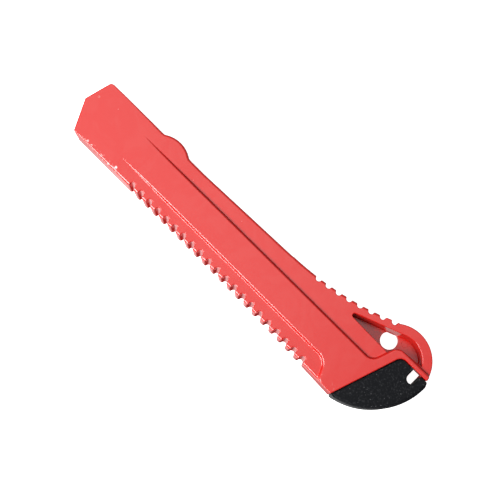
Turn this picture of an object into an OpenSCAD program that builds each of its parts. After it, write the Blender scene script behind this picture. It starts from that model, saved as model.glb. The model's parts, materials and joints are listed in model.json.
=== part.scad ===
// Snap-off utility knife, 18 mm blade, with a riveted slider, a rocking lock button and a tail cap.
// It lies on the rims of its slider face, with its plain back up. All sizes are in millimetres.
// The outlines are drawn with x running from the nose tip towards the tail and y towards the finger
// side; place() then turns them half round and centres them on the origin.

/* [Body] */
// Length over everything, nose tip to tail
body_len = 166; // [164:0.5:169]
// Width of the straight part behind the nose
nose_w = 23.4; // [23.2:0.1:23.8]
// Thickness over the raised panel of the back
body_t = 13; // [12.8:0.1:13.6]
// How far the nose tip stands out in front of its finger side corner
nose_finger = 2.7; // [1.5:0.1:3.5]
// How far the nose tip stands out in front of its spine side corner
nose_spine = 6.2; // [4:0.1:7]
// Width of the raised panel along the back
panel_w = 11.7; // [11:0.1:12.4]
// How far the strips beside the panel lie below it
panel_step = 1.25; // [0.8:0.05:1.5]
// How much further out the spine edge lies at the tail than at the nose
spine_flare = 1.65; // [1.2:0.05:1.7]

/* [Grip] */
// Pitch of the grip teeth along the spine edge
spine_pitch = 4.505; // [4.4:0.005:4.52]
// Pitch of the grip teeth along the finger edge
finger_pitch = 4.4; // [4.3:0.01:4.45]
// Depth of the valleys between the teeth of the spine edge
spine_depth = 2.3; // [2:0.05:2.35]
// Depth of the valleys between the teeth of the finger edge
finger_depth = 1.4; // [1.2:0.05:1.7]
// Width of the valleys between the grip teeth
valley_w = 2.2; // [1.8:0.1:2.4]
// Length of the finger stop behind the nose
bump_len = 13.2; // [12:0.1:16]
// Height of the finger stop
bump_h = 2.15; // [1.5:0.05:2.5]

/* [Tail] */
// Radius of the round heel on the finger side
heel_r = 13.4; // [13.2:0.1:13.6]
// Radius of the tail cap's outer edge
tail_r = 26.8; // [26:0.1:28]
// Radius of the lanyard hole
lanyard_r = 3.35; // [3:0.05:3.4]
// Depth of the triangular pocket in the back
pocket_depth = 7.3; // [6:0.1:7.8]
// Thickness of the web at the bottom of the pocket
web_t = 2.2; // [1.6:0.1:2.6]
// Width of the blade snapping notch in the tail cap
notch_w = 3.7; // [3.2:0.1:3.9]

/* [Blade] */
// Width of the blade
blade_w = 18; // [17.8:0.05:18]
// Length of the blade
blade_l = 100; // [98:0.5:101]
// Thickness of the blade
blade_t = 0.5; // [0.4:0.05:0.5]
// Distance between two score lines
snap_pitch = 10; // [9:0.5:12]
// Angle of the score lines to the cutting edge
snap_angle = 60; // [55:1:65]

/* [Slider] */
// How far the slider travels
travel = 78; // [60:1:80]
// Width of the slot that the slider runs in
slot_w = 11.2; // [11:0.1:11.4]
// Radius of the pin that the lock button rocks on
pin_r = 0.75; // [0.7:0.05:0.8]
// Gap between moving pieces
gap = 0.2; // [0.15:0.01:0.25]

/* [Hidden] */
$fn = 48;

red = [0.86, 0.2, 0.17];
black = [0.13, 0.13, 0.14];
steel = [0.72, 0.73, 0.75];

half_w = nose_w / 2 - 0.25;               // from the axis of the blade to the finger edge
spine_w = nose_w / 2 + 0.25;              // and to the spine edge
panel_spine = panel_w / 2 + 0.35;         // the panel lies a little off the blade's axis
panel_finger = panel_w / 2 - 0.35;
eps = 0.02;

// outline: the nose and the two long edges
nose_corner_r = [1, 1.8];                // on the spine side, on the finger side
spine_flare_x = body_len - 103;          // the spine edge starts to swing out here
finger_flare_x = 52.8;                   // the finger edge starts to swing out here
finger_slope = 0.03;                     // its slope from there on
finger_arc = [body_len - 71.2, 135.6];   // centre of the hollow curve up to the heel
finger_arc_r = 122.7;
finger_arc_x = finger_arc[0] + finger_arc_r * finger_slope;
heel_c = [body_len - 14.5, 12];          // centre of the heel
heel_x = body_len - 23.1;                // the heel meets the hollow curve here
tail_c = [body_len - tail_r, 12.5];      // centre of the tail cap's outer edge

// outline: the joint line between housing and tail cap
spine_end = spine_w + spine_flare;
cap_foot = [body_len - 22.93, -spine_end];
cap_corner = [body_len - 13.7, 14.3];
cap_end = [body_len - 1.3, 14.3];
cap_corner_r = 3;
axis_y = (heel_c[1] + heel_r - spine_end) / 2;

// back face: the strips beside the panel fade in over this stretch
fade_start = 26.5;
fade_end = 54;
rib_side = 3.75;                         // rib between panel strip and cap, beside the cap
rib_top = 1.85;                          // and above it
low_z = body_t - panel_step;

// grip teeth and finger stop
bump_x = 38;
bump_fillet = 2.5;
spine_teeth_x = 37.15;
spine_valleys = 21;
finger_teeth_x = body_len - 55.2;
finger_valleys = 8;
spine_mouth = 0.8;                       // rounds between the spine valleys and the teeth
finger_mouth = 0.5;                      // the same on the finger side
ledge_z = 10.1;                          // the spine valleys are shallower below this height
ledge_depth = 1.7;

// housing: rims, front wall and the cavity of the guide track
rim_in = 8.4;                            // half width between the two rims of the slider face
front_wall_z = 2.8;
cavity_z0 = 4.8;
cavity_z1 = 9.8;
cavity_half = 9.55;
channel_x = 11;                          // the slider face is sunk from here to the tail
slot_x = 14;                             // the slot starts here

// pocket with the lanyard hole
pocket_z = low_z - pocket_depth;
pocket_apex = [body_len - 40.6, 12.4];
pocket_foot = [body_len - 18.7, 11.85];
pocket_r = heel_r - 3.7;
pocket_apex_r = 0.85;
pocket_turn = [31, 113];                 // the round side of the pocket spans these angles
lanyard_c = [body_len - 20.85, 16.6];

// guide track
sheet_t = 0.45;
track_half = 9.5;
track_x0 = 6.8;
track_x1 = body_len - 33;
track_z0 = 7.3;
track_z1 = 9.75;
lip_in = 6.8;
notch_len = 2.4;
notch_deep = 1.4;
notch_pitch = 3.9;

// blade
blade_x0 = 4.6;
blade_z = 8.68;
stud_r = 2.4;
stud_x = blade_x0 + blade_l - 8;

// slider: every part of it is placed from the pivot of the lock button
pivot_x = 111.5;
pivot_z = 4.2;
slider_x0 = pivot_x - 17.5;
slider_x1 = pivot_x + 15.5;
window_x0 = pivot_x - 14;
window_x1 = pivot_x + 12;
window_half = 4.4;
neck_half = slot_w / 2 - gap;
plate_half = 7.7;
plate_z = 1.1;
flange_half = 9.3;
flange_z0 = 4.9;
flange_z1 = 7.1;
boss_half = 6.5;
holder_z = 8;
holder_t = 0.6;
tooth_x = pivot_x + 7;
tooth_t = 1.2;
tooth_half = 7.8;
tooth_top = 7.2;
rivet_x = [slider_x0 + 1.9, slider_x1 - 1.9];
rivet_r = 0.8;
rivet_head_r = 1.4;
rivet_head_t = 0.5;
button_half = window_half - gap;
button_top = 4.1;
spring_x = pivot_x - 9;
spring_r = 1.4;
spring_wire_r = 0.22;
spring_turns = 4;

// tail cap
cap_gap = 0.2;
cap_z0 = 0.3;
cap_z1 = low_z;
tongue_x0 = track_x1 + 1;
tongue_half = 9.35;
notch_x = body_len - 5.7;
notch_skin = 2.5;                        // the notch is wider below the skin of the cap
notch_wider = 1.4;
notch_y = 9.3;

// ---- helper functions ----
function unit(v) = v / norm(v);
function wrap(a) = a > 180 ? a - 360 : a < -180 ? a + 360 : a;
function arc(c, r, a0, a1, n = 16) =
    [for (i = [0:n]) c + r * [cos(a0 + (a1 - a0) * i / n), sin(a0 + (a1 - a0) * i / n)]];

// the round that takes the place of corner b between a and c
function corner_arc(a, b, c, r, n = 8) =
    let (u = unit(a - b), v = unit(c - b), half = acos(u * v) / 2,
         m = b + unit(u + v) * r / sin(half),
         p = b + u * r / tan(half) - m, q = b + v * r / tan(half) - m,
         start = atan2(p[1], p[0]), turn = wrap(atan2(q[1], q[0]) - start))
    arc(m, r, start, start + turn, n);

// a closed outline with each corner rounded by its radius, or left sharp where that is 0
function rounded(pts, radii, n = 8) =
    let (m = len(pts))
    [for (i = [0:m - 1])
        each radii[i] == 0 ? [pts[i]]
            : corner_arc(pts[(i + m - 1) % m], pts[i], pts[(i + 1) % m], radii[i], n)];

// half widths of the body at x, and the slopes of its edges
function spine_y(x) =
    let (t = max(0, x - spine_flare_x) / (cap_foot[0] - spine_flare_x))
    spine_w + spine_flare * t * t;
function finger_y(x) =
    x < finger_flare_x ? half_w
    : x < finger_arc_x ? half_w + finger_slope * (x - finger_flare_x)
    : finger_arc[1] - sqrt(pow(finger_arc_r, 2) - pow(x - finger_arc[0], 2));
function slope(y0, y1) = atan(y1 - y0);

cap_side = unit(cap_corner - cap_foot);
cap_top = unit(cap_end - cap_corner);
// the strip's edge runs beside the cap at a distance: these are its corner points
rib_start = cap_foot + rib_side * [-cap_side[1], cap_side[0]];
rib_upper = cap_corner + rib_top * [-cap_top[1], cap_top[0]];
function meet(p, u, q, v) =
    let (d = q - p, k = (d[0] * v[1] - d[1] * v[0]) / (u[0] * v[1] - u[1] * v[0])) p + u * k;
rib_bend = rib_start + cap_side * (panel_finger - rib_start[1]) / cap_side[1];
rib_corner = meet(rib_start, cap_side, rib_upper, cap_top);
rib_out = rib_upper + cap_top * 22;

module place() {
    translate([body_len / 2, axis_y, 0]) rotate([0, 0, 180]) children();
}

module slab(z0, z1) {
    translate([0, 0, z0]) linear_extrude(z1 - z0) children();
}

// a plate from x0 to x1, half wide to each side, with rounded corners
module plate2d(x0, x1, half, r = 0) {
    if (r == 0) translate([x0, -half]) square([x1 - x0, 2 * half]);
    else polygon(rounded([[x0, -half], [x1, -half], [x1, half], [x0, half]], [r, r, r, r]));
}

// ---- housing ----
module housing_outline() {
    heel_in = atan2(finger_y(heel_x) - heel_c[1], heel_x - heel_c[0]);
    heel_out = asin((cap_end[1] - heel_c[1]) / heel_r);
    polygon(concat(
        [[0, 0]],
        corner_arc([0, 0], [nose_spine, -spine_w], [40, -spine_w], nose_corner_r[0]),
        [for (i = [0:12]) let (x = spine_flare_x + (cap_foot[0] - spine_flare_x) * i / 12) [x, -spine_y(x)]],
        corner_arc(cap_foot, cap_corner, cap_end, cap_corner_r),
        [cap_end],
        arc(heel_c, heel_r, heel_out, heel_in, 24),
        [for (i = [1:12]) let (x = heel_x + (finger_arc_x - heel_x) * i / 12) [x, finger_y(x)]],
        [[finger_flare_x, half_w]],
        corner_arc([40, half_w], [nose_finger, half_w], [0, 0], nose_corner_r[1])));
}

// an arc that runs out into the straight edge through a hollow at either end
module finger_stop() {
    r = (pow(bump_len / 2, 2) + pow(bump_h, 2)) / (2 * bump_h);
    low = half_w + bump_h - r;
    hollow_y = half_w + bump_fillet;
    hollow_x = sqrt(pow(r + bump_fillet, 2) - pow(hollow_y - low, 2));
    a = atan2(hollow_y - low, hollow_x);
    polygon(concat(
        [[bump_x - hollow_x, half_w - 2]],
        arc([bump_x - hollow_x, hollow_y], bump_fillet, -90, -a, 8),
        arc([bump_x, low], r, 180 - a, a),
        arc([bump_x + hollow_x, hollow_y], bump_fillet, 180 + a, 270, 8),
        [[bump_x + hollow_x, half_w - 2]]));
}

// a round valley whose two mouths are rounded as well, so that the teeth are soft lobes
module valley(deep, mouth) {
    r = valley_w / 2;
    below = max(mouth - (deep - r), 0);
    side = sqrt(pow(r + mouth, 2) - pow(below, 2));
    turn = atan2(below, side);
    polygon(concat(
        [[-side, 1]],
        arc([-side, -mouth], mouth, 90, turn, 8),
        arc([0, r - deep], r, 180 + turn, 360 - turn, 16),
        arc([side, -mouth], mouth, 180 - turn, 90, 8),
        [[side, 1]]));
}

module spine_valleys(deep) {
    for (i = [0:spine_valleys - 1]) {
        x = spine_teeth_x + spine_pitch * i;
        turn = slope(spine_y(x - 0.5), spine_y(x + 0.5));
        translate([x, -spine_y(x)]) rotate(180 - turn) valley(deep, spine_mouth);
    }
}

module finger_valleys(deep) {
    for (i = [0:finger_valleys - 1]) {
        x = finger_teeth_x + finger_pitch * i;
        turn = slope(finger_y(x - 0.5), finger_y(x + 0.5));
        translate([x, finger_y(x)]) rotate(turn) valley(deep, finger_mouth);
    }
}

module spine_strip_outline() {
    polygon(rounded(
        [[fade_start - 5, -panel_spine], [body_len - 32.9, -panel_spine],
         [body_len - 28.9, -spine_end - 0.9], [fade_start - 5, -spine_end - 0.9]],
        [0, 5, 0, 0]));
}

module finger_strip_outline() {
    polygon(rounded(
        [[fade_start - 5, panel_finger], rib_bend, rib_corner, rib_out, rib_out + [0, 16],
         [fade_start - 5, rib_out[1] + 16]],
        [0, 4, 4, 0, 0, 0]));
}

// the strips start flush with the panel and sink away from it towards the tail
module strips() {
    intersection() {
        slab(low_z - 1, body_t + 1) {
            spine_strip_outline();
            finger_strip_outline();
        }
        rotate([90, 0, 0]) linear_extrude(100, center = true)
            polygon([[fade_start, body_t], [fade_end, low_z], [body_len + 5, low_z],
                     [body_len + 5, body_t + 2], [fade_start, body_t + 2]]);
    }
}

module pocket_outline() {
    top = arc(heel_c, pocket_r, pocket_turn[0], pocket_turn[1]);
    polygon(concat(
        corner_arc(top[len(top) - 1], pocket_apex, pocket_foot, pocket_apex_r),
        [pocket_foot],
        corner_arc(pocket_foot, rib_corner, rib_out, 4),
        top));
}

module housing() {
    color(red) place() difference() {
        slab(0, body_t) {
            housing_outline();
            finger_stop();
        }
        slab(-1, ledge_z) spine_valleys(ledge_depth);
        slab(ledge_z - eps, body_t + 1) spine_valleys(spine_depth);
        slab(-1, body_t + 1) finger_valleys(finger_depth);
        strips();
        slab(cavity_z0, cavity_z1) plate2d(-1, body_len - 10, cavity_half);
        slab(front_wall_z - eps, cavity_z0 + eps) plate2d(slot_x, body_len, slot_w / 2);
        slab(-1, front_wall_z) plate2d(channel_x, body_len, rim_in, 1.5);
        slab(pocket_z, body_t + 1) pocket_outline();
        slab(-1, pocket_z - web_t) pocket_outline();
        translate([lanyard_c[0], lanyard_c[1], pocket_z - web_t - eps])
            cylinder(r = lanyard_r, h = web_t + 2 * eps);
        notch_relief();
    }
}

// the wall behind the cap's notch leans back, so that the notch is open right through
module notch_relief() {
    lip = 1.8;
    lean = 1.6;
    edge = cap_corner[1];
    translate([notch_x - notch_w / 2 - notch_wider, 0, 0]) rotate([90, 0, 90])
        linear_extrude(notch_w + notch_wider)
        polygon([[edge - 2, -1], [edge + lean, -1], [edge, body_t - lip], [edge - 2, body_t - lip]]);
}

// ---- guide track: a folded steel channel whose lips are notched for the lock ----
module guide_track() {
    color(steel) place() difference() {
        slab(track_z0, track_z1) plate2d(track_x0, track_x1, track_half);
        slab(track_z0 + sheet_t, track_z1 - sheet_t)
            plate2d(track_x0 - 1, track_x1 + 1, track_half - sheet_t);
        slab(track_z0 - 1, track_z0 + sheet_t + eps) plate2d(track_x0 - 1, track_x1 + 1, lip_in);
        for (i = [0:floor(travel / notch_pitch)])
            slab(track_z0 - 1, track_z0 + sheet_t + eps)
                plate2d(tooth_x - i * notch_pitch - notch_len / 2,
                        tooth_x - i * notch_pitch + notch_len / 2, lip_in + notch_deep);
    }
}

// ---- tail cap ----
module cap_outline() {
    inner = cap_gap;
    low = -spine_end;
    foot = [cap_foot[0] + inner / cap_side[1], low];
    corner = cap_corner + [inner * 1.3, -inner];
    end = cap_end + [0.4, -inner];
    a_low = asin((low - tail_c[1]) / tail_r);
    a_high = asin((end[1] - 1.6 - tail_c[1]) / tail_r);
    polygon(concat(
        corner_arc([foot[0] + 5, low], foot, corner, 0.5),
        corner_arc(foot, corner, end, cap_corner_r - inner),
        corner_arc(corner, end, tail_c + tail_r * [cos(a_high), sin(a_high)], 0.6),
        arc(tail_c, tail_r, a_high, a_low, 24)));
}

module end_cap() {
    color(black) place() difference() {
        union() {
            slab(cap_z0, cap_z1) cap_outline();
            slab(cavity_z0 + gap, cavity_z1 - gap) plate2d(tongue_x0, body_len - 13.5, tongue_half, 1);
        }
        // the snapping notch runs in from the finger side
        slab(-1, body_t + 1) {
            translate([notch_x, notch_y + notch_w / 2]) circle(notch_w / 2);
            translate([notch_x - notch_w / 2, notch_y + notch_w / 2]) square([notch_w, 8]);
        }
        translate([notch_x - notch_w / 2 - notch_wider, notch_y + 0.6, -1])
            cube([notch_w + notch_wider, 9, cap_z1 - notch_skin + 1]);
        // the tongue and the block behind it are hollow
        slab(cavity_z0 + gap + 1.2, cavity_z1 - gap - 1.2)
            plate2d(tongue_x0 - 1, body_len - 13, tongue_half - 1.3);
    }
}

// ---- blade: its cutting edge faces the finger side ----
module blade() {
    half = blade_w / 2;
    slant = blade_w / tan(snap_angle);
    x1 = blade_x0 + blade_l;
    bevel = 1.1;
    score = 0.12;
    color(steel) place() translate([0, 0, blade_z]) difference() {
        slab(0, blade_t)
            polygon([[blade_x0, half], [blade_x0 + slant, -half], [x1, -half], [x1, half]]);
        // the ground bevels of the cutting edge
        for (side = [0, 1])
            translate([0, 0, side * blade_t]) mirror([0, 0, side])
                rotate([90, 0, 90]) translate([0, 0, blade_x0 - 1]) linear_extrude(blade_l + 2)
                polygon([[half - bevel, -eps], [half + 1, -eps],
                         [half + 1, blade_t / 2], [half - 0.01, blade_t / 2 - 0.03]]);
        // score lines
        for (i = [1:7])
            translate([blade_x0 + i * snap_pitch, half, blade_t])
                rotate([0, 0, -snap_angle]) translate([0, -0.15, -score])
                cube([blade_w * 1.4, 0.3, score + 1]);
        translate([stud_x, 0, -1]) cylinder(r = stud_r + 0.1, h = 3);
    }
}

// ---- slider ----
module blade_holder() {
    color(steel) place() difference() {
        union() {
            slab(holder_z, holder_z + holder_t)
                plate2d(slider_x0 - 4, slider_x1, blade_w / 2 - 0.4, 2);
            translate([stud_x, 0, holder_z]) cylinder(r = stud_r, h = holder_t + blade_t + 0.05);
        }
        rivet_holes();
    }
}

module rivet_holes() {
    for (x = rivet_x) translate([x, 0, 0]) cylinder(r = rivet_r, h = body_t);
}

module slider_carriage() {
    color(black) place() difference() {
        union() {
            slab(front_wall_z - 0.1, flange_z0 + eps)
                plate2d(slider_x0 + 0.5, slider_x1 - 0.5, neck_half, 1);
            slab(flange_z0, flange_z1) plate2d(slider_x0, slider_x1, flange_half, 1.5);
            slab(flange_z1 - eps, holder_z) plate2d(slider_x0, slider_x1, boss_half, 1);
        }
        slab(0, flange_z1) plate2d(window_x0, window_x1, window_half);
        slab(5.2, body_t) plate2d(tooth_x - 1.7, tooth_x + 1.7, tooth_half + 0.4);
        translate([pivot_x, 0, pivot_z]) rotate([90, 0, 0])
            cylinder(r = pin_r, h = 4 * window_half, center = true);
        // pocket of the slide spring
        translate([pivot_x - 11, -8.9, flange_z0 - 1]) cube([17.5, 2, 1.5]);
        rivet_holes();
    }
}

module slider_plate() {
    color(black) place() difference() {
        slab(plate_z, front_wall_z - 0.1) plate2d(slider_x0 - 1, slider_x1 + 1, plate_half, 2);
        slab(0, body_t) plate2d(window_x0, window_x1, window_half);
        rivet_holes();
        for (x = rivet_x)
            translate([x, 0, plate_z - 1]) cylinder(r = rivet_head_r, h = 1 + rivet_head_t);
    }
}

module slider_rivet(x) {
    color(steel) place() translate([x, 0, plate_z]) {
        cylinder(r = rivet_r, h = holder_z + holder_t - plate_z);
        cylinder(r = rivet_head_r, h = rivet_head_t);
    }
}

module slider_rivet_front() { slider_rivet(rivet_x[0]); }
module slider_rivet_rear() { slider_rivet(rivet_x[1]); }

// a bowed strip under the carriage that takes up its play
module slide_spring() {
    bow = 0.3;
    len = 16.5;
    r = (pow(len / 2, 2) + pow(bow, 2)) / (2 * bow);
    span = asin(len / 2 / r);
    strip = 0.18;
    c = [pivot_x - 2.25, flange_z0 - 0.05 + r];
    color(steel) place() translate([0, -6.95, 0]) rotate([90, 0, 0]) linear_extrude(1.9)
        polygon(concat(arc(c, r, 270 - span, 270 + span), arc(c, r - strip, 270 + span, 270 - span)));
}

// ---- lock: a rocking button, its tooth, its pin and its spring ----
module lock_button() {
    x0 = window_x0 + 0.9;
    x1 = window_x1 - 0.9;
    color(black) place() difference() {
        union() {
            translate([0, button_half, 0]) rotate([90, 0, 0]) linear_extrude(2 * button_half)
                polygon(rounded(
                    [[x0, 0.9], [pivot_x - 1, 0.9], [pivot_x + 4, 2.9], [x1, 2.9],
                     [x1, 5.4], [pivot_x - 3.5, 5.4], [pivot_x - 5, button_top], [x0, button_top]],
                    [0.6, 4, 3, 0.6, 0.6, 0.6, 0.6, 0.6], 5));
            // ridges for the thumb
            for (i = [0:5])
                translate([x0 + 1.2 + 1.9 * i, button_half, 0.95]) rotate([90, 0, 0])
                    cylinder(r = 0.55, h = 2 * button_half);
        }
        translate([pivot_x, 0, pivot_z]) rotate([90, 0, 0])
            cylinder(r = pin_r + 0.05, h = 3 * button_half, center = true);
        // seat of the tooth's stem
        translate([tooth_x - tooth_t / 2, -3, 4.3]) cube([tooth_t, 6, 3]);
    }
}

module lock_tooth() {
    color(steel) place() {
        translate([tooth_x - tooth_t / 2, -3, 4.3]) cube([tooth_t, 6, 1.9]);
        translate([tooth_x - tooth_t / 2, -tooth_half, 6.15])
            cube([tooth_t, 2 * tooth_half, tooth_top - 6.15]);
    }
}

module rocker_pin() {
    color(steel) place() translate([pivot_x, 0, pivot_z]) rotate([90, 0, 0])
        cylinder(r = pin_r, h = 2 * neck_half - 0.2, center = true);
}

// the coil is swept as rings of spring_sides points; its ends are closed by flat fans
spring_sides = 8;
spring_rings = 64;
function coil_point(i, k) =
    let (t = i / spring_rings, a = 360 * spring_turns * t, b = 360 * k / spring_sides,
         r = spring_r + spring_wire_r * cos(b))
    [r * cos(a), r * sin(a),
     button_top + spring_wire_r
         + (flange_z1 - button_top - 2 * spring_wire_r) * t + spring_wire_r * sin(b)];
module button_spring() {
    n = spring_sides;
    color(steel) place() translate([spring_x, 0, 0]) polyhedron(
        points = [for (i = [0:spring_rings]) for (k = [0:n - 1]) coil_point(i, k)],
        faces = concat(
            [[for (k = [0:n - 1]) k]],
            [for (i = [0:spring_rings - 1]) for (k = [0:n - 1])
                [i * n + k, (i + 1) * n + k, (i + 1) * n + (k + 1) % n, i * n + (k + 1) % n]],
            [[for (k = [n - 1:-1:0]) spring_rings * n + k]]),
        convexity = 6);
}

housing();
guide_track();
end_cap();
blade();
blade_holder();
slider_carriage();
slider_plate();
slider_rivet_front();
slider_rivet_rear();
slide_spring();
lock_button();
lock_tooth();
rocker_pin();
button_spring();
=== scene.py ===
import json
import math

import bmesh
import bpy
import numpy as np
from mathutils import Matrix, Vector
from mathutils.geometry import delaunay_2d_cdt

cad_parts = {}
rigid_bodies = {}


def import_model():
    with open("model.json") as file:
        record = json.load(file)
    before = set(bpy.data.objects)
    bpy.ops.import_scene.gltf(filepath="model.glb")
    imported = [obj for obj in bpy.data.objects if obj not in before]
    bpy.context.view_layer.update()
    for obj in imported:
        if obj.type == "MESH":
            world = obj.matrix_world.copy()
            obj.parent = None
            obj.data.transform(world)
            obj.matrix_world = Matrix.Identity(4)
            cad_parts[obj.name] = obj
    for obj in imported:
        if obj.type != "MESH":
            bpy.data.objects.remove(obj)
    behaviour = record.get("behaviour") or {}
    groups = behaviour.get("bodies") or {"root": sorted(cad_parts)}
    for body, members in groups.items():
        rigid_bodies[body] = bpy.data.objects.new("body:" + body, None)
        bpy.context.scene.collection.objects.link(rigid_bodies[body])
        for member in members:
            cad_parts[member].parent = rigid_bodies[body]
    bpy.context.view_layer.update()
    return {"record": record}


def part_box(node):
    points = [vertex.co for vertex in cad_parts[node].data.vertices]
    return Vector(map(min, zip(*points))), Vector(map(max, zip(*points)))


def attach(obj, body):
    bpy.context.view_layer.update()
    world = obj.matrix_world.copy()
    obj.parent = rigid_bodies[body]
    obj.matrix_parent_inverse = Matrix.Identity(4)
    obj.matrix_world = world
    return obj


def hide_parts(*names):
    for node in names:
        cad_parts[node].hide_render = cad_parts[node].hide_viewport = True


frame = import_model()

# ---------------------------------------------------------------------------------------------
# Drawing coordinates, in millimetres: x from the nose tip to the tail, y towards the finger side
# and z up. place() turns them half round into the frame.
# ---------------------------------------------------------------------------------------------
MM = 0.001
nose_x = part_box("housing")[1].x
axis_y = (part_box("blade")[0].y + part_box("blade")[1].y) / 2
body_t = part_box("housing")[1].z / MM
body_len = (nose_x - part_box("end_cap")[0].x) / MM
half_w, spine_w, spine_end = 11.45, 11.95, 13.6
step_high = 1.25      # from the raised panel down to the strips beside it
low_z = body_t - step_high
nose_spine, nose_finger = 6.2, 2.7
fade_start, fade_end = 26.5, 54
spine_depth, spine_depth_low, finger_depth = 2.3, 1.7, 1.4
# the soft round along the top edge of the housing: radius by x
edge_x = (0, 12, 34, body_len - 29, body_len - 28)
edge_radii = (0.5, 0.5, 1.1, 1.1, 0.4)
rim_r = 0.3           # the small round along the walls of the valleys
valley_w, spine_mouth, finger_mouth = 2.2, 0.8, 0.5
# the rows of valleys: x of the first one, pitch and number
spine_row, finger_row = (37.15, 4.505, 21), (body_len - 55.2, 4.4, 8)
step_r, step_wall, step_hollow = 0.7, 0.05, 0.5
pocket_floor = low_z - 7.3
web_t = 2.2

spine_flare_x = body_len - 103
finger_flare_x, finger_slope = 52.8, 0.03
finger_arc, finger_arc_r = (body_len - 71.2, 135.6), 122.7
finger_arc_x = finger_arc[0] + finger_arc_r * finger_slope
heel_c, heel_r, heel_x = np.array([body_len - 14.5, 12.0]), 13.4, body_len - 23.1
tail_r = 26.8
tail_c = np.array([body_len - tail_r, 12.5])
cap_foot = np.array([body_len - 22.93, -spine_end])
cap_corner = np.array([body_len - 13.7, 14.3])
cap_end = np.array([body_len - 1.3, 14.3])
cap_gap, cap_z0 = 0.2, 0.3
lanyard_c, lanyard_r = np.array([body_len - 20.85, 16.6]), 3.35
notch_x, notch_y, notch_w, notch_wider = body_len - 5.7, 9.3, 3.7, 1.4
# the hollows of the housing: from the slider side the sunk face, the slot and the track's cavity
sunk_x, sunk_half, sunk_z = 11, 8.4, 2.8
slot_x, slot_half, slot_z = 14, 5.6, 5
cavity_end, cavity_half, cavity_z0, cavity_z1 = body_len - 10, 9.55, 4.8, 9.8


def place(p):
    return (nose_x - p[0] * MM, axis_y - p[1] * MM, p[2] * MM)


# ---- plane geometry ----
def unit(v):
    return np.asarray(v, float) / np.linalg.norm(v)


def arc(c, r, a0, a1, step=0.3):
    n = max(3, int(abs(math.radians(a1 - a0)) * r / step))
    return [np.array([c[0] + r * math.cos(math.radians(a)), c[1] + r * math.sin(math.radians(a))])
            for a in np.linspace(a0, a1, n + 1)]


def corner(a, b, c, r, step=0.2):
    """The round that takes the place of corner b between a and c."""
    a, b, c = (np.asarray(p, float) for p in (a, b, c))
    u, v = unit(a - b), unit(c - b)
    half = math.acos(float(u @ v)) / 2
    m = b + unit(u + v) * r / math.sin(half)
    p, q = b + u * r / math.tan(half) - m, b + v * r / math.tan(half) - m
    start = math.degrees(math.atan2(p[1], p[0]))
    turn = (math.degrees(math.atan2(q[1], q[0])) - start + 180) % 360 - 180
    return arc(m, r, start, start + turn, step)


def rounded(points, radii):
    m, out = len(points), []
    for i, r in enumerate(radii):
        if r:
            out += corner(points[i - 1], points[i], points[(i + 1) % m], r, 0.4)
        else:
            out.append(np.asarray(points[i], float))
    return out


def resample(points, step, closed=True):
    """The same line with extra points on its long stretches."""
    points = [np.asarray(p, float) for p in points]
    out = []
    last = len(points) if closed else len(points) - 1
    for i in range(last):
        a, b = points[i], points[(i + 1) % len(points)]
        n = max(1, int(round(np.linalg.norm(b - a) / step)))
        out += [a + (b - a) * k / n for k in range(n)]
    if not closed:
        out.append(points[-1])
    return np.array(out)


def clean(points, least=0.03):
    out = [points[0]]
    for p in points[1:]:
        if np.linalg.norm(p - out[-1]) > least:
            out.append(p)
    if np.linalg.norm(out[0] - out[-1]) < least:
        out.pop()
    return np.array(out)


def normals(loop, closed=True):
    """Unit normals that point inwards for a counter-clockwise loop."""
    if closed:
        t = np.roll(loop, -1, 0) - np.roll(loop, 1, 0)
    else:
        t = np.gradient(loop, axis=0)
    t /= np.linalg.norm(t, axis=1)[:, None]
    return np.stack([-t[:, 1], t[:, 0]], 1)


def chunks(p, low, high):
    """Groups of points close in x, each with the segments whose span from low to high meets them."""
    order = np.argsort(p[:, 0])
    for i in range(0, len(p), 400):
        ids = order[i:i + 400]
        near = (low <= p[ids[-1], 0]) & (high >= p[ids[0], 0])
        if near.any():
            yield ids, near


def distance(p, line, closed=True, reach=3.0):
    """Distance from each point to the line, never more than reach."""
    a = line if closed else line[:-1]
    b = np.roll(line, -1, 0) if closed else line[1:]
    low = np.minimum(a[:, 0], b[:, 0]) - reach
    high = np.maximum(a[:, 0], b[:, 0]) + reach
    out = np.full(len(p), reach)
    for ids, near in chunks(p, low, high):
        ab = (b - a)[near]
        q = p[ids][:, None, :] - a[near]
        t = np.clip((q * ab).sum(2) / np.maximum((ab ** 2).sum(1), 1e-12), 0, 1)
        out[ids] = np.minimum(reach, np.sqrt(((q - t[..., None] * ab) ** 2).sum(2).min(1)))
    return out


def inside(p, loop):
    a, b = loop, np.roll(loop, -1, 0)
    out = np.zeros(len(p), bool)
    for ids, near in chunks(p, np.minimum(a[:, 0], b[:, 0]), np.maximum(a[:, 0], b[:, 0])):
        u, v = a[near], b[near]
        x, y = p[ids, 0:1], p[ids, 1:2]
        cross = (u[:, 0] > x) != (v[:, 0] > x)
        dx = np.where(v[:, 0] == u[:, 0], 1e-12, v[:, 0] - u[:, 0])
        at = u[:, 1] + (x - u[:, 0]) * (v[:, 1] - u[:, 1]) / dx
        out[ids] = (cross & (y < at)).sum(1) % 2 == 1
    return out


def depth(p, loop):
    """Distance in from the loop, negative outside it."""
    return np.where(inside(p, loop), 1, -1) * distance(p, loop)


def drop(r, d):
    """How far a round of radius r lies below the face it starts from, d away from its edge."""
    d = np.clip(d, 0, r)
    return r - np.sqrt(np.maximum(r * r - (r - d) ** 2, 0))


def ring_depths(r, n=6):
    return [r * (1 - math.cos(math.radians(90 * k / n))) for k in range(1, n + 1)]


# ---- outlines of the housing ----
def spine_y(x):
    t = max(0, x - spine_flare_x) / (cap_foot[0] - spine_flare_x)
    return spine_w + (spine_end - spine_w) * t * t


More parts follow.
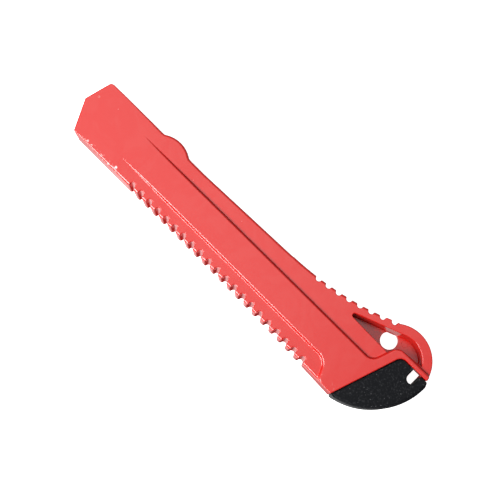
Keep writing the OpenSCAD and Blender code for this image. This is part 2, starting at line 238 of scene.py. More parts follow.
def finger_y(x):
    if x < finger_flare_x:
        return half_w
    if x < finger_arc_x:
        return half_w + finger_slope * (x - finger_flare_x)
    return finger_arc[1] - math.sqrt(finger_arc_r ** 2 - (x - finger_arc[0]) ** 2)


def valley(deep, mouth):
    """Points of a valley between two teeth: u along the edge, v into the body."""
    r = valley_w / 2
    below = max(mouth - (deep - r), 0)
    side = math.sqrt((r + mouth) ** 2 - below ** 2)
    turn = math.degrees(math.atan2(below, side))
    line = [(-side + mouth * math.sin(a), mouth - mouth * math.cos(a))
            for a in np.linspace(0, math.radians(90 - turn), 7)]
    line += [(-r * math.cos(a), deep - r + r * math.sin(a))
             for a in np.linspace(math.radians(turn), math.radians(180 - turn), 17)[1:-1]]
    line += [(-u, v) for u, v in line[6::-1]]
    return line


def edge_line(x0, x1, height, side, row, deep, mouth, step=0.6):
    """An edge from x0 to x1, x rising, with its row of valleys; side is -1 on the spine side."""
    first, pitch, count = row
    cut = valley(deep, mouth)
    reach = valley_w / 2 + mouth + 0.05
    out, x, end = [], x0, x0
    for i in range(count + 1):
        c = first + pitch * i
        stop = x1 if i == count else c - reach
        n = max(2, int((stop - end) / step))
        start = x1 if i == count else c + cut[0][0]
        out += [np.array([t, side * height(t)]) for t in np.linspace(x, start, n, endpoint=False)]
        if i < count:
            u = unit([1, side * (height(c + 0.5) - height(c - 0.5))])
            v = np.array([u[1], -u[0]]) * side
            base = np.array([c, side * height(c)])
            out += [base + u * q[0] + v * q[1] for q in cut]
            x, end = c - cut[0][0] + 0.1, c + reach + 0.05
    return out


def finger_stop():
    """Finger edge from the front of the stop to its end, x falling."""
    length, high, fillet, x = 13.2, 2.15, 2.5, 38
    r = ((length / 2) ** 2 + high ** 2) / (2 * high)
    low, hollow_y = half_w + high - r, half_w + fillet
    hollow_x = math.sqrt((r + fillet) ** 2 - (hollow_y - low) ** 2)
    a = math.degrees(math.atan2(hollow_y - low, hollow_x))
    line = (arc((x - hollow_x, hollow_y), fillet, -90, -a) + arc((x, low), r, 180 - a, a)
            + arc((x + hollow_x, hollow_y), fillet, 180 + a, 270))
    return line[::-1]


def housing_loop(spine, finger):
    """The outline, counter-clockwise; spine and finger are the depths of the valleys, 0 for none."""
    heel_in = math.degrees(math.atan2(finger_y(heel_x) - heel_c[1], heel_x - heel_c[0]))
    heel_out = math.degrees(math.asin((cap_end[1] - heel_c[1]) / heel_r))
    points = [np.array([0.0, 0.0])]
    points += corner([0, 0], [nose_spine, -spine_w], [40, -spine_w], 1.0)
    if spine:
        points += edge_line(8, cap_foot[0], spine_y, -1, spine_row, spine, spine_mouth)
    else:
        points += [np.array([x, -spine_y(x)]) for x in np.arange(8, cap_foot[0], 1.0)]
    points += corner(cap_foot + [-5, 0.3], cap_foot, cap_corner, 0.4)
    points += corner(cap_foot, cap_corner, cap_end, 3)
    points += corner(cap_corner, cap_end, cap_end + [-0.6, 3], 0.4)
    points += arc(heel_c, heel_r, heel_out + 3, heel_in)
    if finger:
        back = edge_line(finger_flare_x, heel_x - 0.5, finger_y, 1, finger_row, finger, finger_mouth)
    else:
        back = [np.array([x, finger_y(x)]) for x in np.arange(finger_flare_x, heel_x - 0.5, 1.0)]
    points += back[::-1]
    points += finger_stop()
    points += corner([30, half_w], [nose_finger, half_w], [0, 0], 1.8)
    return points


panel_spine, panel_finger = 6.2, 5.5
side_u, top_u = unit(cap_corner - cap_foot), unit(cap_end - cap_corner)
rib_start = cap_foot + 3.75 * np.array([-side_u[1], side_u[0]])
rib_upper = cap_corner + 1.85 * np.array([-top_u[1], top_u[0]])


def paired(top, low, step):
    """Two loops with as many points as each other, with extra points at the same places in both."""
    out_top, out_low = [], []
    n = len(top)
    for i in range(n):
        p, q = np.asarray(top[i], float), np.asarray(top[(i + 1) % n], float)
        r, s = np.asarray(low[i], float), np.asarray(low[(i + 1) % n], float)
        if np.linalg.norm(q - p) < 0.03:
            continue
        m = max(1, int(round(np.linalg.norm(q - p) / step)))
        for k in range(m):
            out_top.append(p + (q - p) * k / m)
            out_low.append(r + (s - r) * k / m)
    return np.array(out_top), np.array(out_low)


def meet(p, u, q, v):
    """Where the line through p along u crosses the line through q along v."""
    d = q - p
    return p + u * (d[0] * v[1] - d[1] * v[0]) / (u[0] * v[1] - u[1] * v[0])


# outlines: without valleys, and with them at the top and at the underside
PLAIN = clean(resample(housing_loop(0, 0), 0.7))
PLAIN_FINE = resample(PLAIN, 0.35)
TOP, LOW = paired(housing_loop(spine_depth, finger_depth),
                  housing_loop(spine_depth_low, finger_depth), 0.7)

rib_bend = rib_start + side_u * (panel_finger - rib_start[1]) / side_u[1]
rib_corner = meet(rib_start, side_u, rib_upper, top_u)
rib_out = rib_upper + top_u * 22

SPINE_STRIP = np.array(rounded(
    [[fade_start - 5, -panel_spine], [body_len - 32.9, -panel_spine],
     [body_len - 28.9, -spine_end - 0.9], [fade_start - 5, -spine_end - 0.9]],
    [0, 5, 0, 0]))[::-1]
FINGER_STRIP = np.array(rounded(
    [[fade_start - 5, panel_finger], rib_bend, rib_corner, rib_out, rib_out + [0, 16],
     [fade_start - 5, rib_out[1] + 16]],
    [0, 4, 4, 0, 0, 0]))
pocket_apex, pocket_foot = [body_len - 40.6, 12.4], [body_len - 18.7, 11.85]
pocket_top = arc(heel_c, heel_r - 3.7, 31, 113)
POCKET = clean(corner(pocket_top[-1], pocket_apex, pocket_foot, 0.85) + [np.array(pocket_foot)]
               + corner(pocket_foot, rib_corner, rib_out, 4) + pocket_top)
pocket_wall, pocket_fillet, pocket_rim = 0.3, 0.35, 0.3
mark_c, mark_r, mark_depth = np.array([body_len - 15.8, 19.8]), 1.3, 0.14


def step_profile(s, high):
    """Depth below the panel at distance s into the strip: a round, a wall and a hollow."""
    upper = drop(step_r, -s)
    t = np.clip(s / step_wall, 0, 1)
    top, bottom = step_r, high - step_hollow
    wall = top + (bottom - top) * t
    q = np.clip(s - step_wall, 0, step_hollow)
    hollow = bottom + np.sqrt(step_hollow ** 2 - (step_hollow - q) ** 2)
    return np.where(s < 0, upper, np.where(s < step_wall, wall, hollow)) * (s > -step_r)


def edge_round(p):
    """Radius of the round along the top edge at each point."""
    return np.interp(p[:, 0], edge_x, edge_radii)


def housing_height(p):
    """Height of the back at each point: panel, strips, rounds and pocket."""
    edge, rim = depth(p, PLAIN), depth(p, TOP)
    fade = np.clip((p[:, 0] - fade_start) / (fade_end - fade_start), 0, 1)
    side = np.maximum(depth(p, SPINE_STRIP), depth(p, FINGER_STRIP))
    z = body_t - step_profile(side, step_high) * fade
    z -= drop(edge_round(p), edge)
    z -= drop(rim_r, rim) * np.clip((edge - rim) / 0.3, 0, 1)
    sink = depth(p, POCKET)
    z -= np.where(sink < 0, drop(pocket_rim, -sink), pocket_rim)
    t = np.clip(sink / pocket_wall, 0, 1)
    wall = z + (pocket_floor + pocket_fillet - z) * t
    q = np.clip(sink - pocket_wall, 0, pocket_fillet)
    floor = pocket_floor + pocket_fillet - np.sqrt(pocket_fillet ** 2 - (pocket_fillet - q) ** 2)
    mark = np.linalg.norm(p - mark_c, axis=1)
    floor -= mark_depth * np.clip((mark_r + 0.05 - mark) / 0.1, 0, 1)
    return np.where(sink <= 0, z, np.where(sink < pocket_wall, wall, floor))


def offset(line, d, closed=True):
    """The line moved inwards by d, a number or one for each point."""
    return line + normals(line, closed) * np.reshape(d, (-1, 1))


def sheet(boundary, lines, scatter, height):
    """A sheet of triangles inside boundary, with points along the lines, lifted to height(x, y)."""
    points, edges = [], []

    def add(line, keep, closed):
        ids = []
        for ok, p in zip(keep, line):
            if ok:
                ids.append(len(points))
                points.append(p)
            else:
                ids.append(None)
        n = len(line)
        for i in range(n if closed else n - 1):
            a, b = ids[i], ids[(i + 1) % n]
            if a is not None and b is not None:
                edges.append((a, b))

    add(boundary, np.ones(len(boundary), bool), True)
    for line, closed, test in lines:
        keep = depth(line, boundary) > 0.1
        if test is not None:
            keep &= test(line)
        add(line, keep, closed)
    keep = depth(scatter, boundary) > 0.8
    points.extend(scatter[keep])
    spots = [Vector((float(p[0]), float(p[1]))) for p in points]
    cdt = delaunay_2d_cdt(spots, edges, [], 0, 1e-4, False)
    flat = np.array([tuple(v) for v in cdt[0]])
    faces = np.array([f for f in cdt[2] if len(f) == 3])
    a, b, c = flat[faces[:, 0]], flat[faces[:, 1]], flat[faces[:, 2]]
    area = ((b - a)[:, 0] * (c - a)[:, 1] - (b - a)[:, 1] * (c - a)[:, 0]) / 2
    sliver = (area < 1e-4) & (faces < len(boundary)).all(1)
    faces = faces[inside((a + b + c) / 3, boundary) & ~sliver]
    z = height(flat)
    n = len(boundary)
    flat[:n], z[:n] = boundary, height(boundary)
    return [(p[0], p[1], h) for p, h in zip(flat, z)], [tuple(f) for f in faces]


class Solid:
    """Collects faces in drawing coordinates and makes one closed mesh of them."""

    def __init__(self):
        self.verts, self.faces = [], []

    def add(self, verts, faces):
        base = len(self.verts)
        self.verts += [tuple(map(float, v)) for v in verts]
        self.faces += [tuple(i + base for i in f) for f in faces]

    def walls(self, loops):
        n = len(loops[0])
        verts = [v for loop in loops for v in loop]
        faces = [(k * n + i, (k + 1) * n + i, (k + 1) * n + (i + 1) % n, k * n + (i + 1) % n)
                 for k in range(len(loops) - 1) for i in range(n)]
        self.add(verts, faces)

    def cap(self, loop, up):
        order = tuple(range(len(loop)))
        self.add(loop, [order if up else order[::-1]])

    def object(self, name):
        mesh = bpy.data.meshes.new(name)
        mesh.from_pydata([place(v) for v in self.verts], [], self.faces)
        bm = bmesh.new()
        bm.from_mesh(mesh)
        bmesh.ops.remove_doubles(bm, verts=bm.verts, dist=3e-7)
        seams = [e for e in bm.edges if e.is_boundary]
        bmesh.ops.holes_fill(bm, edges=seams, sides=6)
        bmesh.ops.recalc_face_normals(bm, faces=bm.faces)
        if bm.calc_volume(signed=True) < 0:
            bmesh.ops.reverse_faces(bm, faces=bm.faces)
        bm.to_mesh(mesh)
        bm.free()
        obj = bpy.data.objects.new(name, mesh)
        bpy.context.scene.collection.objects.link(obj)
        return obj


def level(loop, z):
    return [(p[0], p[1], z) for p in loop]


def moulding(top, low, height, lines, scatter, bottom_z, bottom_r):
    """A closed body: a lifted sheet inside loop top, walls down to loop low, and a flat underside."""
    s = Solid()
    verts, faces = sheet(top, lines, scatter, height)
    s.add(verts, faces)
    rim = [(p[0], p[1], z) for p, z in zip(top, height(top))]
    base = level(low, bottom_z + bottom_r)
    rows = [[tuple(np.array(a) + (np.array(b) - np.array(a)) * t) for a, b in zip(rim, base)]
            for t in (0, 0.33, 0.66, 1)]
    for a in (30, 60, 90):
        d = bottom_r * (1 - math.cos(math.radians(a)))
        rows.append(level(offset(low, d), bottom_z + bottom_r * (1 - math.sin(math.radians(a)))))
    s.walls(rows)
    last = np.array(rows[-1])[:, :2]
    verts, faces = sheet(last, [], np.zeros((0, 2)), lambda p: np.full(len(p), bottom_z))
    s.add(verts, [f[::-1] for f in faces])
    return s


# ---- cutters ----
def skinned(rows):
    """A closed solid through a row of loops, with a lid at either end."""
    s = Solid()
    s.walls(rows)
    s.cap(rows[0], True)
    s.cap(rows[-1], False)
    return s


def prism(loop, stations):
    """A closed solid through copies of a loop; stations are (z, outward offset), from the top down."""
    loop = np.array(loop)
    return skinned([level(offset(loop, -out), z) for z, out in stations])


def slab_loop(x0, x1, half, r=0.0):
    if r:
        return clean(rounded([[x0, -half], [x1, -half], [x1, half], [x0, half]], [r] * 4))
    return resample([[x0, -half], [x1, -half], [x1, half], [x0, half]], 1000)


def flare(z, up, r=0.3, n=4):
    """Stations of a rounded mouth at height z, for a cut that goes into the body along up."""
    out = []
    for k in range(n + 1):
        a = math.radians(90 * k / n)
        out.append((z + up * r * (1 - math.cos(a)), r * (1 - math.sin(a))))
    return out


def boolean(obj, tool, operation="DIFFERENCE"):
    mod = obj.modifiers.new("cut", "BOOLEAN")
    mod.object, mod.operation, mod.solver = tool, operation, "MANIFOLD"
    dg = bpy.context.evaluated_depsgraph_get()
    mesh = bpy.data.meshes.new_from_object(obj.evaluated_get(dg))
    obj.modifiers.remove(mod)
    obj.data = mesh
    bpy.data.objects.remove(tool)


def shade(obj, height, loop, angle=38):
    """Smooth shading; on the sheet inside loop the normals follow the height function itself."""
    mesh = obj.data
    mesh.shade_smooth()
    mesh.set_sharp_from_angle(angle=math.radians(angle))
    mod = obj.modifiers.new("normals", "WEIGHTED_NORMAL")
    mod.keep_sharp = True
    mesh = bpy.data.meshes.new_from_object(obj.evaluated_get(bpy.context.evaluated_depsgraph_get()))
    obj.modifiers.remove(mod)
    obj.data = mesh
    spots = np.zeros((len(mesh.vertices), 3))
    mesh.vertices.foreach_get("co", spots.reshape(-1))
    # back to drawing coordinates
    spots = np.stack([nose_x - spots[:, 0], axis_y - spots[:, 1], spots[:, 2]], 1) / MM
    corners = np.zeros(len(mesh.loops), int)
    mesh.loops.foreach_get("vertex_index", corners)
    out = np.zeros((len(corners), 3))
    mesh.corner_normals.foreach_get("vector", out.reshape(-1))
    count = np.zeros(len(mesh.polygons), int)
    mesh.polygons.foreach_get("loop_total", count)
    face_normal = np.zeros((len(count), 3))
    mesh.polygons.foreach_get("normal", face_normal.reshape(-1))
    face_of = np.repeat(np.arange(len(count)), count)
    centre = np.stack([np.bincount(face_of, spots[corners, k]) / count for k in range(3)], 1)
    on_sheet = (face_normal[:, 2] > 0.02) & (np.abs(centre[:, 2] - height(centre[:, :2])) < 0.1)
    on_sheet &= inside(centre[:, :2], loop)
    flat = on_sheet & (face_normal[:, 2] > 0.9985)
    out[flat[face_of]] = face_normal[face_of][flat[face_of]]
    use = (on_sheet & ~flat)[face_of]
    at = spots[corners[use], :2]
    at = at + (centre[face_of[use], :2] - at) * 0.1
    h = 0.002
    gx = (height(at + [h, 0]) - height(at - [h, 0])) / (2 * h)
    gy = (height(at + [0, h]) - height(at - [0, h])) / (2 * h)
    n = np.stack([gx, gy, np.ones(len(gx))], 1)
    out[use] = n / np.linalg.norm(n, axis=1)[:, None]
    mesh.normals_split_custom_set(out)


def grid(x0, x1, y0, y1, step):
    xs, ys = np.meshgrid(np.arange(x0, x1, step), np.arange(y0, y1, step))
    xs[::2] += step / 2
    return np.stack([xs.ravel(), ys.ravel()], 1)


# ---- housing ----
def track_cavity():
    """The cavity of the guide track, with a flared mouth in the two faces of the nose."""
    tips = [(nose_finger / half_w, 1), (0, 0), (nose_spine / spine_w, -1)]
    rows = []
    for inset, grow in ((-0.3, 0.35), (0.02, 0.3), (0.12, 0.12), (0.35, 0), (None, 0)):
        h = cavity_half + grow
        row = []
        for z, turn in ((cavity_z0 - grow, 1), (cavity_z1 + grow, -1)):
            row += [(cavity_end if inset is None else slope * h + inset, side * h, z)
                    for slope, side in tips][::turn]
        rows.append(row)
    return skinned(rows)


def notch_relief():
    """The wall behind the cap's notch leans back."""
    edge, lip_z = cap_corner[1], body_t - 1.8
    profile = [(edge - 2, -1), (edge + 1.6, -1), (edge, lip_z), (edge - 2, lip_z)]
    return skinned([[(x, y, z) for y, z in profile]
                    for x in (notch_x - notch_w / 2 - notch_wider, notch_x + notch_w / 2)])


def make_housing():
    lines = []

    def plain_only(q):
        return (depth(q, PLAIN) - depth(q, TOP) < 0.1) | (depth(q, TOP) > rim_r + 0.06)

    def in_valley(q):
        return depth(q, PLAIN) - depth(q, TOP) > 0.08

    for d in ring_depths(1):
        lines.append((offset(PLAIN_FINE, d * edge_round(PLAIN_FINE)), True, plain_only))
    for d in ring_depths(rim_r, 4):
        if d > 0.1:
            lines.append((offset(TOP, d), True, in_valley))
    for strip in (SPINE_STRIP, FINGER_STRIP):
        line = resample(strip, 0.6)
        depths = [-d for d in ring_depths(step_r, 5)] + [0, step_wall]
        depths += [step_wall + d for d in ring_depths(step_hollow, 5)]
        for d in depths:
            lines.append((offset(line, d), True, None))
    line = resample(POCKET, 0.5)
    for d in [-x for x in ring_depths(pocket_rim, 4)] + [0, pocket_wall]:
        lines.append((offset(line, d), True, None))
    for d in ring_depths(pocket_fillet, 4):
        lines.append((offset(line, pocket_wall + d), True, None))
    for r in (mark_r - 0.05, mark_r + 0.05):
        lines.append((np.array(arc(mark_c, r, 0, 350, 0.3)), True, None))
    scatter = grid(0, body_len, -14, 26, 1.9)
    away = np.ones(len(scatter), bool)
    for line in (SPINE_STRIP, FINGER_STRIP, POCKET, PLAIN):
        away &= distance(scatter, line) > (1.7 if line is PLAIN else 1.0)
    s = moulding(TOP, LOW, housing_height, lines, scatter[away], 0, 0.22)
    obj = s.object("housing_moulding")
    sunk = slab_loop(sunk_x, body_len + 5, sunk_half, 1.5)
    slot = slab_loop(slot_x, body_len + 5, slot_half, 0.8)
    hole = np.array(arc(lanyard_c, lanyard_r, 0, 353, 0.35))
    under = pocket_floor - web_t
    cutters = [
        prism(sunk, [(sunk_z, 0)] + flare(0, 1)[::-1] + [(-1, 0.3)]),
        prism(slot, [(slot_z, 0)] + flare(sunk_z, 1, 0.25)[::-1] + [(sunk_z - 0.2, 0.25)]),
        # the recess under the pocket's floor
        prism(POCKET, [(under, 0)] + flare(0, 1)[::-1] + [(-1, 0.3)]),
        prism(hole, [(pocket_floor + 1, 0.3)] + flare(pocket_floor, -1) + [(under - 1, 0)]),
        track_cavity(),
        notch_relief()]
    for c in cutters:
        boolean(obj, c.object("cutter"))
    shade(obj, housing_height, TOP)
    return obj


def cap_loop():
    """The cap's outline in two parts: its own outer edge, and the joint with the notch in it."""
    low = -spine_end
    foot = np.array([cap_foot[0] + cap_gap / side_u[1], low])
    top = cap_corner + [cap_gap * 0.72, -cap_gap]
    end = cap_end + [0.4, -cap_gap]
    a_low = math.degrees(math.asin((low - tail_c[1]) / tail_r))
    a_high = math.degrees(math.asin((end[1] - 1.6 - tail_c[1]) / tail_r))
    outer = arc(tail_c, tail_r, a_low, a_high, 0.5)
    left, right = notch_x - notch_w / 2, notch_x + notch_w / 2
    joint = corner(outer[-1], end, top, 0.6)
    joint += corner(end, [right, end[1]], [right, notch_y], 0.4)
    joint += arc((notch_x, notch_y + notch_w / 2), notch_w / 2, 0, -180)
    joint += corner([left, notch_y], [left, end[1]], top, 0.4)
    joint += corner(end, top, foot, 2.8)
    joint += corner(top, foot, foot + [5, 0], 0.5)
    return outer, joint


def make_cap():
    outer, joint = cap_loop()
    loop = clean(resample(outer + joint, 0.5))
    outer_line, big, small = np.array(outer), 1.5, 0.3
    # the joint narrows towards the slider side
    low = loop - normals(loop) * np.clip(distance(loop, outer_line, False), 0, 1)[:, None] * 0.19

    def height(p):
        rim, out = depth(p, loop), distance(p, outer_line, False)
        return low_z - drop(big, out) - drop(small, rim) * np.clip((out - rim) / 0.3, 0, 1)

    lines = [(offset(outer_line, d, False), False, None) for d in ring_depths(big, 8)]

    def away(q):
        return distance(q, outer_line, False) - depth(q, loop) > 0.05

    lines += [(offset(loop, d), True, away) for d in ring_depths(small, 4)]
    scatter = grid(140, body_len, -14, 16, 1.2)
    scatter = scatter[(distance(scatter, loop) > 0.9) & (distance(scatter, outer_line, False) > big + 0.4)]
    obj = moulding(loop, low, height, lines, scatter, cap_z0, 0.25).object("cap_moulding")
    x0, x1 = notch_x - notch_w / 2 - notch_wider, notch_x + notch_w / 2
    under = np.array([[x0, notch_y + 0.6], [x1, notch_y + 0.6], [x1, 19.0], [x0, 19.0]])
    boolean(obj, prism(under, [(low_z - 2.5, 0), (-1, 0)]).object("cutter"))
    tongue = slab_loop(body_len - 32, body_len - 13.5, 9.35, 1)
    boolean(obj, prism(tongue, [(9.6, 0), (5, 0)]).object("cutter"), "UNION")
    hollow = slab_loop(body_len - 33, body_len - 13, 8.05, 0)
    boolean(obj, prism(hollow, [(8.4, 0), (6.2, 0)]).object("cutter"))
    shade(obj, height, loop)
    return obj


housing = make_housing()
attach(housing, "handle")
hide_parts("housing")
cap = make_cap()
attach(cap, "cap")
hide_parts("end_cap")


# ---------------------------------------------------------------------------------------------
# Materials
# ---------------------------------------------------------------------------------------------
class Finish:
    """A material whose pattern is laid out in the coordinates of the part, in millimetres."""

    def __init__(self, name, colour, roughness, specular=0.5, metallic=0.0):
        self.material = bpy.data.materials.new(name)
        self.material.use_nodes = True
        self.nodes, self.links = self.material.node_tree.nodes, self.material.node_tree.links
        self.shader = self.nodes["Principled BSDF"]
        for key, value in (("Base Color", (*colour, 1)), ("Roughness", roughness),
                           ("Specular IOR Level", specular), ("Metallic", metallic)):
            self.shader.inputs[key].default_value = value
        self.colour = colour
        scale = self.nodes.new("ShaderNodeVectorMath")
        scale.operation = "SCALE"
        scale.inputs["Scale"].default_value = 1000
        self.links.new(self.nodes.new("ShaderNodeTexCoord").outputs["Object"], scale.inputs[0])
        self.at = scale.outputs["Vector"]
        split = self.nodes.new("ShaderNodeSeparateXYZ")
        self.links.new(self.at, split.inputs["Vector"])
        self.x, self.y, self.z = split.outputs["X"], split.outputs["Y"], split.outputs["Z"]

    def noise(self, size, detail=2.0, distortion=0.0, stretch=(1, 1, 1)):
        """Noise with features of about this size in millimetres."""
        spread = self.nodes.new("ShaderNodeVectorMath")
        spread.operation = "MULTIPLY"
        spread.inputs[1].default_value = stretch
        self.links.new(self.at, spread.inputs[0])
        node = self.nodes.new("ShaderNodeTexNoise")
        node.inputs["Scale"].default_value = 1 / size
        node.inputs["Detail"].default_value = detail
        node.inputs["Distortion"].default_value = distortion
        self.links.new(spread.outputs["Vector"], node.inputs["Vector"])
        return node.outputs["Fac"]

    def specks(self, spacing, size, share):
        """1 on small round specks: a share of the cells of this spacing holds one."""
        node = self.nodes.new("ShaderNodeTexVoronoi")
        node.inputs["Scale"].default_value = 1 / spacing
        self.links.new(self.at, node.inputs["Vector"])
        split = self.nodes.new("ShaderNodeSeparateColor")
        self.links.new(node.outputs["Color"], split.inputs["Color"])
        dot = self.ramp(node.outputs["Distance"], size / spacing, size / spacing * 0.6, 0, 1)
        return self.times(dot, self.ramp(split.outputs["Red"], 1 - share, 1 - share + 0.001, 0, 1))

    def spot(self, at, size):
        """1 on a small ragged spot at a place given in drawing coordinates."""
        node = self.nodes.new("ShaderNodeVectorMath")
        node.operation = "DISTANCE"
        self.links.new(self.at, node.inputs[0])
        x, y, _ = place((*at, 0))
        node.inputs[1].default_value = (x / MM, y / MM, body_t)
        near = self.ramp(node.outputs["Value"], size * 1.5, size * 0.5, 0, 1)
        return self.times(near, self.ramp(self.noise(0.6, 2), 0.4, 0.5, 0, 1))

    def ramp(self, value, low, high, to_low, to_high):
        node = self.nodes.new("ShaderNodeMapRange")
        for key, number in (("From Min", low), ("From Max", high), ("To Min", to_low), ("To Max", to_high)):
            node.inputs[key].default_value = number
        self.links.new(value, node.inputs["Value"])
        return node.outputs["Result"]

    def times(self, a, b):
        node = self.nodes.new("ShaderNodeMath")
        node.operation = "MULTIPLY"
        self.links.new(a, node.inputs[0])
        self.links.new(b, node.inputs[1])
        return node.outputs["Value"]

    def paint(self, amount, colour):
        """Turns the base colour towards colour by the amount."""
        node = self.nodes.new("ShaderNodeMix")
        node.data_type = "RGBA"
        self.links.new(amount, node.inputs["Factor"])
        before = self.shader.inputs["Base Color"]
        if before.is_linked:
            self.links.new(before.links[0].from_socket, node.inputs[6])
        else:
            node.inputs[6].default_value = (*self.colour, 1)
        node.inputs[7].default_value = (*colour, 1)
        self.links.new(node.outputs[2], before)

    def bump(self, height, strength, depth):
        node = self.nodes.new("ShaderNodeBump")
        node.inputs["Strength"].default_value = strength
        node.inputs["Distance"].default_value = depth * MM
        self.links.new(height, node.inputs["Height"])
        self.links.new(node.outputs["Normal"], self.shader.inputs["Normal"])


red = Finish("red_plastic", (0.57, 0.008, 0.004), 0.19, 0.9)
# faint flow marks, dust, and scuffs along the spine edge near the nose; the scuffs are wear and also
# painted glints of light
red.paint(red.ramp(red.noise(14, 3, 2.5), 0.42, 0.62, 0, 0.35), (0.58, 0.026, 0.02))
dusty = red.ramp(red.noise(20), 0.4, 0.6, 0.2, 0.8)
red.paint(red.times(red.specks(4, 0.16, 0.3), dusty), (0.9, 0.6, 0.55))
# near-white scuffs on the spine edge near the nose: wear, and also painted glints of light on the pitted
# edge
scuffs_and_glints = red.times(red.ramp(red.x, nose_x / MM - 38, nose_x / MM - 14, 0.1, 1),
                    red.ramp(red.y, axis_y / MM + spine_w - 1.9, axis_y / MM + spine_w - 0.9, 0, 1))
scuffs_and_glints = red.times(scuffs_and_glints, red.ramp(red.z, body_t - 1.6, body_t - 0.8, 0, 1))
scuffs_and_glints = red.times(scuffs_and_glints, red.ramp(red.x, nose_x / MM - 9.5, nose_x / MM - 12, 0, 1))
red.paint(red.times(scuffs_and_glints, red.ramp(red.noise(0.9, 3), 0.6, 0.68, 0, 0.8)), (0.95, 0.72, 0.68))
# chips; the near-white ones by the spine edge are wear and also painted glints of light
for spot, size, colour in (((27.9, -10.5), 0.5, (0.9, 0.8, 0.8)), ((27.1, -10.9), 0.35, (0.8, 0.6, 0.6)),
                           ((13.0, -10.9), 0.4, (0.8, 0.5, 0.5)), ((3.4, 4.0), 0.4, (0.6, 0.16, 0.14))):
    red.paint(red.spot(spot, size), colour)
red.bump(red.noise(1.1, 2), 0.1, 0.05)

black = Finish("black_plastic", (0.004, 0.0046, 0.006), 0.5, 0.12)
black.paint(black.ramp(black.noise(0.5, 3), 0.54, 0.76, 0, 0.6), (0.05, 0.052, 0.056))
black.paint(black.specks(1.1, 0.17, 0.3), (0.12, 0.12, 0.125))
black.bump(black.noise(0.4, 2), 0.7, 0.1)

steel = Finish("spring_steel", (0.42, 0.43, 0.45), 0.28, 0.5, 1.0)
steel.paint(steel.ramp(steel.noise(5, 3, 0, (1, 6, 1)), 0.4, 0.7, 0, 0.5), (0.32, 0.33, 0.35))
steel.bump(steel.noise(0.25, 2, 0, (0.06, 1, 1)), 0.25, 0.02)

finish_of = {"red_plastic": red.material, "black_plastic": black.material, "spring_steel": steel.material}
for obj, slot in ((housing, "red_plastic"), (cap, "black_plastic")):
    obj.data.materials.clear()
    obj.data.materials.append(finish_of[slot])
for entry in frame["record"]["subparts"]:
    if entry["node"] in ("housing", "end_cap"):
        continue
    node = bpy.data.objects[entry["node"]]
    node.data.materials.clear()
    node.data.materials.append(finish_of[entry["material_slot"]])


# ---------------------------------------------------------------------------------------------
# Floor, light and camera
# ---------------------------------------------------------------------------------------------
def area(name, at, aim, size, power):
    light = bpy.data.lights.new(name, "AREA")
    light.shape, light.energy = "RECTANGLE", power
    light.size, light.size_y = size
    obj = bpy.data.objects.new(name, light)
    bpy.context.scene.collection.objects.link(obj)
    obj.location = at
    obj.rotation_mode = "QUATERNION"
    obj.rotation_quaternion = (Vector(at) - Vector(aim)).to_track_quat("Z", "Y")
    return obj


floor_mesh = bpy.data.meshes.new("floor")
floor_mesh.from_pydata([(x, y, -0.0002) for x, y in ((-3, -3), (3, -3), (3, 3), (-3, 3))],
                       [], [(0, 1, 2, 3)])
floor = bpy.data.objects.new("floor", floor_mesh)
bpy.context.scene.collection.objects.link(floor)
floor.visible_glossy = floor.visible_diffuse = floor.visible_shadow = False
white = bpy.data.materials.new("floor")
white.use_nodes = True
shader = white.node_tree.nodes["Principled BSDF"]
shader.inputs["Base Color"].default_value = (0.9, 0.9, 0.9, 1)
shader.inputs["Roughness"].default_value = 1
shader.inputs["Emission Color"].default_value = (1, 1, 1, 1)
shader.inputs["Emission Strength"].default_value = 1
floor_mesh.materials.append(white)

bpy.context.scene.view_settings.view_transform = "Standard"
world = bpy.data.worlds.new("studio")
bpy.context.scene.world = world
world.use_nodes = True
nodes, links = world.node_tree.nodes, world.node_tree.links
coords = nodes.new("ShaderNodeTexCoord")
split = nodes.new("ShaderNodeSeparateXYZ")
links.new(coords.outputs["Generated"], split.inputs["Vector"])
nodes["Background"].inputs["Color"].default_value = (1, 1, 1, 1)


def ramp(value, low, high, to_low, to_high):
    node = nodes.new("ShaderNodeMapRange")
    node.interpolation_type = "SMOOTHSTEP"
    for key, number in (("From Min", low), ("From Max", high), ("To Min", to_low), ("To Max", to_high)):
        node.inputs[key].default_value = number
    links.new(value, node.inputs["Value"])
    return node.outputs["Result"]


def maths(operation, a, b):
    node = nodes.new("ShaderNodeMath")
    node.operation = operation
    links.new(a, node.inputs[0])
    links.new(b, node.inputs[1])
    return node.outputs["Value"]


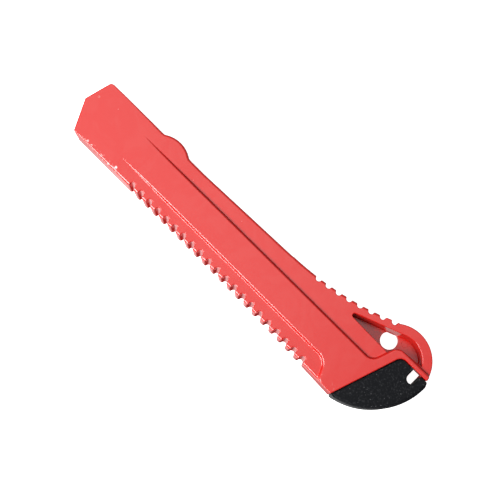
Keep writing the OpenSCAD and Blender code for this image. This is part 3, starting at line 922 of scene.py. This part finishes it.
# The part sees a dim sky, a lamp overhead, a patch of lit table under it, and light from low down on
# both of its long sides.
x, y, z = (split.outputs[axis] for axis in "XYZ")
sky = ramp(z, -0.1, 0.9, 0.03, 0.32)
aim = nodes.new("ShaderNodeVectorMath")
aim.operation = "DOT_PRODUCT"
links.new(coords.outputs["Generated"], aim.inputs[0])
aim.inputs[1].default_value = Vector((0.26, -0.13, 0.95)).normalized()
lamp = ramp(aim.outputs["Value"], 0.905, 0.985, 0, 1.12)
table = ramp(maths("ADD", x, y), 0, 0.3, 0, 1.1)
for limit in (ramp(y, 0.12, 0.17, 1, 0), ramp(x, 0.2, 0.33, 1, 0.4), ramp(z, -0.85, -0.95, 0, 1)):
    table = maths("MULTIPLY", table, limit)
sides = maths("ADD", ramp(y, 0.1, 0.4, 0, 1.7), ramp(y, -0.2, -0.5, 0, 0.7))
sides = maths("MULTIPLY", sides, ramp(z, 0.15, -0.1, 0, 1))
brightness = maths("ADD", maths("ADD", sky, lamp), maths("ADD", table, sides))
# the camera itself sees a white background
path = nodes.new("ShaderNodeLightPath")
brightness = maths("MAXIMUM", brightness, path.outputs["Is Camera Ray"])
links.new(brightness, nodes["Background"].inputs["Strength"])
area("key", (0.18, 0.4, 0.48), (0, 0, 0.01), (0.5, 0.3), 6.6)

azimuth, elevation, roll = (math.radians(a) for a in (225.0165, 79.567, 0.154))
far = 0.3827
target = Vector((0.0027, 0.00295, 0.013))
back = Vector((math.sin(azimuth) * math.cos(elevation), -math.cos(azimuth) * math.cos(elevation),
               math.sin(elevation)))
right = Vector((0, 0, 1)).cross(back).normalized()
up = back.cross(right)
right, up = (right * math.cos(roll) + up * math.sin(roll),
             up * math.cos(roll) - right * math.sin(roll))
camera = bpy.data.objects.new("camera", bpy.data.cameras.new("camera"))
bpy.context.scene.collection.objects.link(camera)
camera.data.sensor_width = 36
camera.data.lens = 77.65
camera.data.clip_start, camera.data.clip_end = 0.01, 20
turned = Matrix((right, up, back)).transposed().to_4x4()
camera.matrix_world = Matrix.Translation(target + back * far) @ turned
bpy.context.scene.camera = camera
